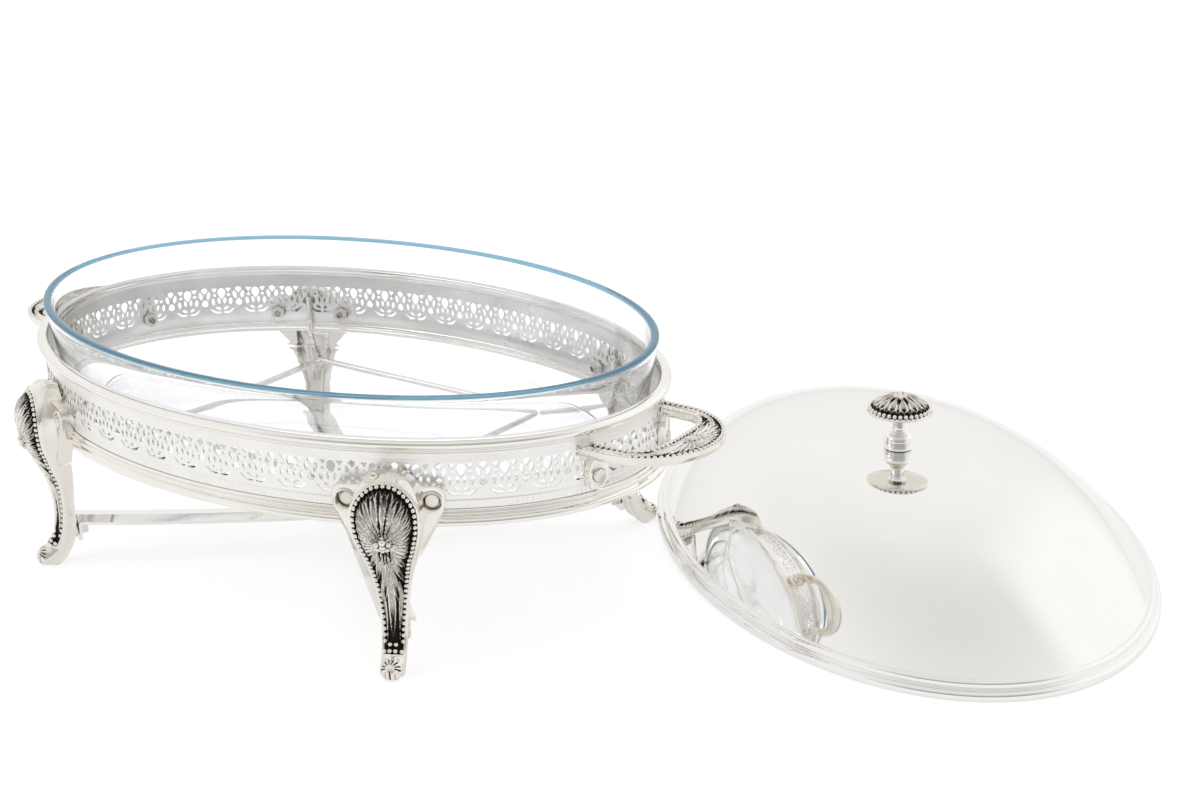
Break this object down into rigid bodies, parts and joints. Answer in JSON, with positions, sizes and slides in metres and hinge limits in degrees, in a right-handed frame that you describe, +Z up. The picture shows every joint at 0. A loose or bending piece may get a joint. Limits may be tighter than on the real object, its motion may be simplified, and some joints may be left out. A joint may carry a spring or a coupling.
{
  "type": "chafing dish",
  "caption": "Oval pierced silver-plated warming stand on cast legs with a clear glass oven dish in a wire cradle and a domed lid with a knob lying beside it.",
  "frame": {"origin": "on the table, under the middle of the box round the whole set", "axes": "+X along the long axis of the oval stand, towards the handle beside the lid; +Y away from the side that faces the viewer; +Z up"},
  "size_m": [0.6102, 0.4416, 0.13],
  "materials": {
    "silver": "polished silver plate",
    "cast_silver": "silver-plated casting with blackened recesses",
    "wire": "plated round wire",
    "fastener": "plated steel screws, nuts and bolts",
    "aluminium": "thin pressed aluminium cup",
    "wax": "white candle wax with a wick",
    "glass": "clear pressed oven glass"
  },
  "bodies": {
    "stand": {"cradle_hanger_front_left": "wire", "cradle_hanger_front_right": "wire", "cradle_hanger_rear_left": "wire", "cradle_hanger_rear_right": "wire", "cradle_loop": "wire", "gallery_band": "silver", "handle_left": "cast_silver", "handle_nut_left_a": "fastener", "handle_nut_left_b": "fastener", "handle_nut_right_a": "fastener", "handle_nut_right_b": "fastener", "handle_right": "cast_silver", "handle_screw_left_a": "cast_silver", "handle_screw_left_b": "cast_silver", "handle_screw_right_a": "cast_silver", "handle_screw_right_b": "cast_silver", "holder_nut": "fastener", "holder_screw": "fastener", "leg_front_left": "cast_silver", "leg_front_right": "cast_silver", "leg_nut_front_left_a": "fastener", "leg_nut_front_left_b": "fastener", "leg_nut_front_right_a": "fastener", "leg_nut_front_right_b": "fastener", "leg_nut_rear_left_a": "fastener", "leg_nut_rear_left_b": "fastener", "leg_nut_rear_right_a": "fastener", "leg_nut_rear_right_b": "fastener", "leg_rear_left": "cast_silver", "leg_rear_right": "cast_silver", "leg_screw_front_left_a": "cast_silver", "leg_screw_front_left_b": "cast_silver", "leg_screw_front_right_a": "cast_silver", "leg_screw_front_right_b": "cast_silver", "leg_screw_rear_left_a": "cast_silver", "leg_screw_rear_left_b": "cast_silver", "leg_screw_rear_right_a": "cast_silver", "leg_screw_rear_right_b": "cast_silver", "lower_rim": "silver", "strap_bolt_front_left": "fastener", "strap_bolt_front_right": "fastener", "strap_bolt_rear_left": "fastener", "strap_bolt_rear_right": "fastener", "strap_lower": "silver", "strap_upper": "silver", "tealight_holder": "silver", "upper_rim": "silver"},
    "lid": {"lid_shell": "silver", "knob_stem": "silver", "knob_cap": "cast_silver", "knob_nut": "fastener"},
    "dish": {"glass_dish": "glass"},
    "tealight": {"tealight_cup": "aluminium", "tealight_wax": "wax"}
  },
  "joints": [
    {"name": "dish_lift", "type": "slide", "parent": "stand", "child": "dish", "axis": [0, 0, 1], "range_m": [0, 0.08]},
    {"name": "tealight_lift", "type": "slide", "parent": "stand", "child": "tealight", "axis": [0, 0, 1], "range_m": [0, 0.0165]},
    {"name": "lid_lift", "type": "slide", "parent": "stand", "child": "lid", "axis": [0, 0, 1], "range_m": [0, 0.05]}
  ]
}
